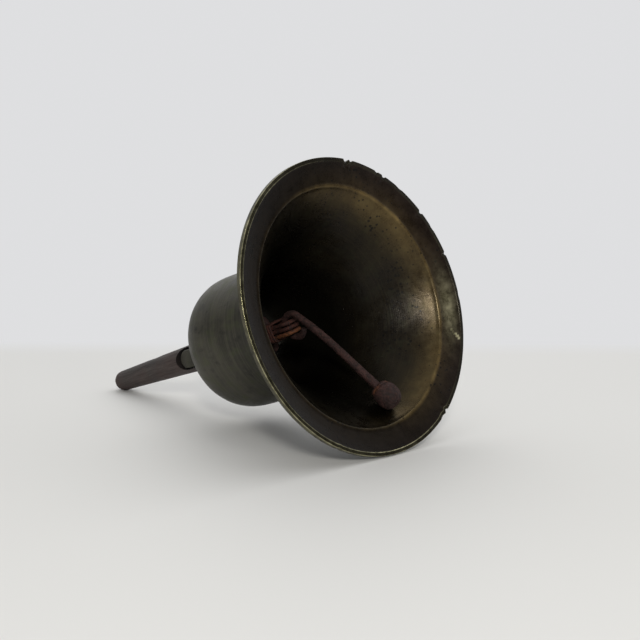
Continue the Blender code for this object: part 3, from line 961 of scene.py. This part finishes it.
def finer(path, spacing):
    """The path resampled along a smooth curve through its points."""
    path = [Vector(point) for point in path]
    made = []
    for index in range(len(path) - 1):
        before = path[max(0, index - 1)]
        first, second = path[index], path[index + 1]
        after = path[min(len(path) - 1, index + 2)]
        count = max(1, round((second - first).length / spacing))
        for share in steps(count)[:-1]:
            square, cube = share * share, share * share * share
            made.append(
                (
                    first * 2
                    + (second - before) * share
                    + (before * 2 - first * 5 + second * 4 - after) * square
                    + (first * 3 - before - second * 3 + after) * cube
                )
                / 2
            )
    made.append(path[-1])
    return made


def make_staple(look):
    bend_x = STAPLE_HALF_SPAN - STAPLE_BEND
    bend_z = -STAPLE_BAR_DEPTH - STAPLE_BEND
    half = [(STAPLE_HALF_SPAN, 0, -STAPLE_SOCKET_DEPTH + GAP)]
    for share in steps(24):
        half.append((STAPLE_HALF_SPAN, 0, half[0][2] + (bend_z - half[0][2]) * (0.04 + 0.94 * share)))
    for share in steps(12):
        angle = share * pi / 2
        half.append((bend_x + STAPLE_BEND * cos(angle), 0, bend_z + STAPLE_BEND * sin(angle)))
    path = half + [(bend_x * (1 - share), 0, half[-1][2]) for share in steps(6)[1:-1]]
    path += [(0, 0, half[-1][2])]
    path += [(-x, y, z) for x, y, z in reversed(path[:-1])]
    shift = scaly(0.00014, 11)
    staple = swept("staple", path, [STAPLE_RADIUS] * len(path), 24, STAPLE_AXES, shift)
    staple.data.materials.append(look)
    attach(staple, "bell")
    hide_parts("clapper_staple")


def link_path():
    """The link's wire: turns side by side, round the staple's bar at one end and the eye at the other."""
    bend = LINK_INNER_HALF_WIDTH + LINK_WIRE_RADIUS
    staple_end = -STAPLE_BAR_DEPTH - STAPLE_RADIUS - GAP - LINK_WIRE_RADIUS + bend
    clapper_end = -SWING_DEPTH - bend
    middle = (staple_end + clapper_end) / 2
    first_x = -LINK_PITCH * (LINK_TURNS - 1) / 2
    path = []
    for turn in range(LINK_TURNS):
        x = first_x + turn * LINK_PITCH
        step_in = x if turn == 0 else x - LINK_PITCH / 2
        for start_x, side, end in ((step_in, 1, staple_end), (x, -1, clapper_end)):
            path.append((start_x, side * bend, middle))
            for share in steps(12):
                angle = pi * share
                path.append((x, side * bend * cos(angle), end - side * bend * sin(angle)))
    path.append((first_x + (LINK_TURNS - 1) * LINK_PITCH, bend, middle + LINK_WIRE_RADIUS))
    return path


def lashing_path():
    """The lashing's wire, wound round the link's waist."""
    clear = LINK_WIRE_RADIUS + LASHING_WIRE_RADIUS + GAP
    half_x = LINK_PITCH * (LINK_TURNS - 1) / 2 + clear
    half_y = LINK_INNER_HALF_WIDTH + LINK_WIRE_RADIUS + clear
    path = []
    for turn in range(LASHING_TURNS):
        for quarter in range(4):
            for share in steps(5)[:-1]:
                angle = pi / 2 * (quarter + share)
                along = turn + (quarter + share) / 4
                side_x = 1 if quarter in (0, 3) else -1
                side_y = 1 if quarter in (0, 1) else -1
                x = side_x * (half_x - clear) + clear * cos(angle)
                y = side_y * (half_y - clear) + clear * sin(angle)
                path.append((x, y, -LASHING_DEPTH + (along - LASHING_TURNS / 2) * LASHING_PITCH))
    return path


def make_link(look):
    def lower_strand(point):
        return smooth_step(0.0012, 0.0030, point.x) * smooth_step(-0.078, -0.070, point.z)

    path = finer(link_path(), 0.0007)
    radii = [LINK_WIRE_RADIUS] * len(path)
    link = swept("link", path, radii, 16, STAPLE_AXES, scaly(0.00020, 21), lower_strand)
    link.data.materials.append(look)
    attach(link, "link")
    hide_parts("link_wire")

    path = finer(lashing_path(), 0.0007)
    radii = [LASHING_WIRE_RADIUS] * len(path)
    lashing = swept("lashing", path, radii, 10, STAPLE_AXES, scaly(0.00010, 31))
    lashing.data.materials.append(look)
    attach(lashing, "link")
    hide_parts("lashing_wire")


def make_clapper(look):
    reach_x = BOB_AXIS_DISTANCE
    reach_z = SWING_DEPTH - BOB_DEPTH
    lean = acos(-EYE_RADIUS / hypot(reach_x, reach_z)) - atan2(reach_z, reach_x)
    along = Vector((sin(lean), 0, cos(lean)))
    across = Vector((-cos(lean), 0, sin(lean)))
    bob_centre = Vector((reach_x, 0, reach_z))
    tangent = across * EYE_RADIUS
    start = bob_centre - along * SHANK_END_INSET
    length = (start - tangent).length

    path = []
    radii = []
    for share in steps(90):
        # The shank is a little bowed, and drawn down towards the eye.
        bow = SHANK_BOW * sin(pi * share) - SHANK_BEND * sin(2 * pi * share)
        path.append(start - along * (length * share) + across * bow)
        drawn = smooth_step(0.82, 1.0, share)
        waist = 1 - 0.10 * smooth_step(0.15, 0.6, share)
        radii.append(SHANK_RADIUS * waist * (1 - drawn) + EYE_ROD_RADIUS * drawn)
    for share in steps(84)[1:]:
        turn = Matrix.Rotation(-EYE_SWEEP * share, 3, "Y")
        path.append(turn @ tangent)
        radii.append(EYE_ROD_RADIUS * (1 - 0.12 * smooth_step(0.8, 1.0, share)))

    def forged(point, along_rod, angle):
        flats = -0.00030 * abs(sin(angle * 2 + along_rod * 40)) * (0.5 + 0.5 * bumps(point, 60, 3))
        return flats + scaly(0.00022, 41)(point, along_rod, angle)

    shank = swept("shank", path, radii, 28, CLAPPER_AXES, forged)
    shank.data.materials.append(look)
    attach(shank, "clapper")
    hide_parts("clapper_shank")

    socket_radius = SHANK_RADIUS + GAP
    floor = GAP - SHANK_END_INSET
    depth = BOB_HALF_LENGTH - BOB_SOCKET_LIP
    profile = [(0, floor), (socket_radius * 0.9, floor), (socket_radius, floor - 0.0002)]
    profile += [(socket_radius, floor - depth * share) for share in steps(8)[1:]]
    barrel = []
    for share in steps(48)[1:-1]:
        angle = pi * (share - 0.5)
        barrel.append((BOB_RADIUS * cos(angle) ** BOB_FULLNESS, BOB_HALF_LENGTH * sin(angle)))
    barrel = [point for point in barrel if point[0] > socket_radius + BOB_SOCKET_RIM]
    # A shallow groove runs round the bob a little below its shoulder, where the forged collar was folded.
    for place, (radius, z) in enumerate(barrel):
        groove = BOB_GROOVE_DEPTH * exp(-(((z + BOB_GROOVE_PLACE) / BOB_GROOVE_WIDTH) ** 2))
        barrel[place] = (radius - groove, z)
    profile += barrel
    profile += [(barrel[-1][0] * share, barrel[-1][1] + 0.0001) for share in (0.8, 0.5)]
    profile.append((0, barrel[-1][1] + 0.0001))

    def hammered(point, index, angle):
        round_bob = (cos(angle) * 2.2, sin(angle) * 2.2, point.z * 40)
        strakes = 0.00045 * max(0.0, bumps(round_bob, 1.6, 7))
        facets = 0.00050 * max(0.0, bumps(point, 150, 8))
        return -strakes - facets - 0.00012 * max(0.0, bumps(point, 600, 6))

    bob_axes = CLAPPER_AXES @ axes_at(bob_centre, -across, Vector((0, 1, 0)), along)

    def seam(point, index, angle):
        near = exp(-(((point.z + BOB_SEAM_PLACE) / BOB_SEAM_WIDTH) ** 2))
        return 0.7 * near * (0.5 + 0.5 * sin(3 * angle + 1))

    bob = revolved("bob", profile, even_angles(96), bob_axes, hammered, {"fresh": seam})
    bob.data.materials.append(look)
    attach(bob, "clapper")
    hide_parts("clapper_bob")


# --------------------------------------
# Studio: table, room, light and camera

VIEW_AZIMUTH = radians(45.35)
VIEW_PITCH = radians(8.549)
VIEW_ROLL = radians(0.11)
CAMERA_FROM_MOUTH = Vector((0.5150, -0.5421, 0.1028))
LENS = 72.4
TABLE_END = 0.30  # how far behind the bell the table gives way to the room
TABLE_SOFTNESS = 0.06
TABLE_REACH = 60.0
FAR_TABLE = (0.50, 0.95)  # where the light on the table would fall off, it keeps an even tone instead
FAR_TABLE_COLOUR = (0.62, 0.62, 0.61)
TABLE_COLOUR = (0.69, 0.685, 0.672)
ROOM_COLOUR = (0.735, 0.738, 0.750)
ROOM_DIM = 0.095
ROOM_BRIGHT = 0.98
ROOM_SPREAD = (0.05, 0.85)  # the cosines from the bright side at which the room is dim and bright
ROOM_LIGHT_COLOUR = (0.98, 0.99, 1.0)
BRIGHT_SIDE = Vector((-0.45, 0.60, 1.0)).normalized()
LIT_DEPTH = 0.04  # how far inside the mouth the lights point


def level_direction(azimuth):
    """The level direction from the object towards a viewer at that azimuth."""
    return Vector((sin(azimuth), -cos(azimuth), 0))


def make_camera():
    data = bpy.data.cameras.new("camera")
    data.lens = LENS
    data.sensor_width = 36
    data.clip_start = 0.01
    camera = placed("camera", data)
    back = level_direction(VIEW_AZIMUTH) * cos(VIEW_PITCH) + Vector((0, 0, sin(VIEW_PITCH)))
    turn = back.to_track_quat("Z", "Y").to_matrix().to_4x4() @ Matrix.Rotation(VIEW_ROLL, 4, "Z")
    camera.matrix_world = Matrix.Translation(MOUTH + CAMERA_FROM_MOUTH) @ turn
    bpy.context.scene.camera = camera


def make_table():
    """A pale table that turns softly into the pale room behind it."""
    towards = level_direction(VIEW_AZIMUTH)
    made = Nodes("pale table")
    position = made.add("NewGeometry").outputs["Position"]
    behind = made.add("VectorMath", operation="DOT_PRODUCT")
    made.feed(behind.inputs[0], position)
    behind.inputs[1].default_value = -towards
    surface = made.noise(position, 900, 2)
    made.finish(TABLE_COLOUR, 0.6, 0.0, made.bump(surface, 0.05, 0.0002), 0.12)
    away = made.add("VectorMath", operation="LENGTH")
    made.feed(away.inputs[0], position)
    surface = made.shader.outputs[0]
    for share, glow in (
        (made.span(away.outputs["Value"], *FAR_TABLE), FAR_TABLE_COLOUR),
        (made.span(behind.outputs["Value"], TABLE_END - TABLE_SOFTNESS, TABLE_END), ROOM_COLOUR),
    ):
        pale = made.add("Emission")
        pale.inputs["Color"].default_value = (*glow, 1)
        blend = made.add("MixShader")
        made.feed(blend.inputs[0], share)
        made.tree.links.new(surface, blend.inputs[1])
        made.tree.links.new(pale.outputs[0], blend.inputs[2])
        surface = blend.outputs[0]
    made.tree.links.new(surface, made.tree.nodes["Material Output"].inputs["Surface"])
    mesh = bpy.data.meshes.new("table")
    corners = [(x * TABLE_REACH, y * TABLE_REACH, 0) for x, y in ((-1, -1), (1, -1), (1, 1), (-1, 1))]
    mesh.from_pydata(corners, [], [(0, 1, 2, 3)])
    mesh.materials.append(made.material)
    table = placed("table", mesh)


def soft_light(name, azimuth, elevation, distance, size, energy, colour):
    """A rectangular light that points at the bell, placed by degrees round it and above the table."""
    data = bpy.data.lights.new(name, "AREA")
    data.shape = "RECTANGLE"
    data.size, data.size_y = size
    data.energy = energy
    data.color = colour
    made = placed(name, data)
    way = level_direction(radians(azimuth)) * cos(radians(elevation))
    way += Vector((0, 0, sin(radians(elevation))))
    target = MOUTH - OUT * LIT_DEPTH
    made.location = target + way * distance
    made.rotation_euler = way.to_track_quat("Z", "Y").to_euler()


def make_room():
    """The room's own light, bright overhead and behind, dim in front, and evenly pale where it is seen."""
    world = bpy.data.worlds.new("studio")
    world.use_nodes = True
    tree = world.node_tree
    direction = tree.nodes.new("ShaderNodeTexCoord").outputs["Generated"]
    facing = tree.nodes.new("ShaderNodeVectorMath")
    facing.operation = "DOT_PRODUCT"
    tree.links.new(direction, facing.inputs[0])
    facing.inputs[1].default_value = BRIGHT_SIDE
    level = tree.nodes.new("ShaderNodeMapRange")
    tree.links.new(facing.outputs["Value"], level.inputs["Value"])
    set_range(level, *ROOM_SPREAD, ROOM_DIM, ROOM_BRIGHT)
    lit = tree.nodes["Background"]
    lit.inputs["Color"].default_value = (*ROOM_LIGHT_COLOUR, 1)
    tree.links.new(level.outputs["Result"], lit.inputs["Strength"])
    seen = tree.nodes.new("ShaderNodeBackground")
    seen.inputs["Color"].default_value = (*ROOM_COLOUR, 1)
    blend = tree.nodes.new("ShaderNodeMixShader")
    tree.links.new(tree.nodes.new("ShaderNodeLightPath").outputs["Is Camera Ray"], blend.inputs[0])
    tree.links.new(lit.outputs[0], blend.inputs[1])
    tree.links.new(seen.outputs[0], blend.inputs[2])
    tree.links.new(blend.outputs[0], tree.nodes["World Output"].inputs["Surface"])
    bpy.context.scene.world = world


def make_light():
    make_room()
    soft_light("overhead", 217, 47, 1.6, (1.6, 1.2), 8.0, (1.0, 0.99, 0.97))
    soft_light("window", 47, 26, 1.8, (0.20, 0.28), 14.0, (1.0, 0.98, 0.92))
    soft_light("second_window", 74, 22, 1.8, (0.24, 0.34), 2.2, (1.0, 0.97, 0.90))


def main():
    bpy.context.scene.view_settings.view_transform = "Standard"
    make_camera()
    make_table()
    make_light()
    bronze = bronze_material()
    iron = rust_material("rusty iron", IRON_TONES, 0.56, 0.25)
    wire = rust_material("rusty wire", WIRE_TONES, 0.50, 0.15)
    make_bell(bronze)
    make_tang(bronze)
    wood = wood_material("weathered handle wood", WOOD_TONES)
    slot_wood = wood_material("dark slot wood", SLOT_TONES)
    make_handle(wood, slot_wood)
    make_rivet(iron)
    make_staple(iron)
    make_link(wire)
    make_clapper(iron)


main()
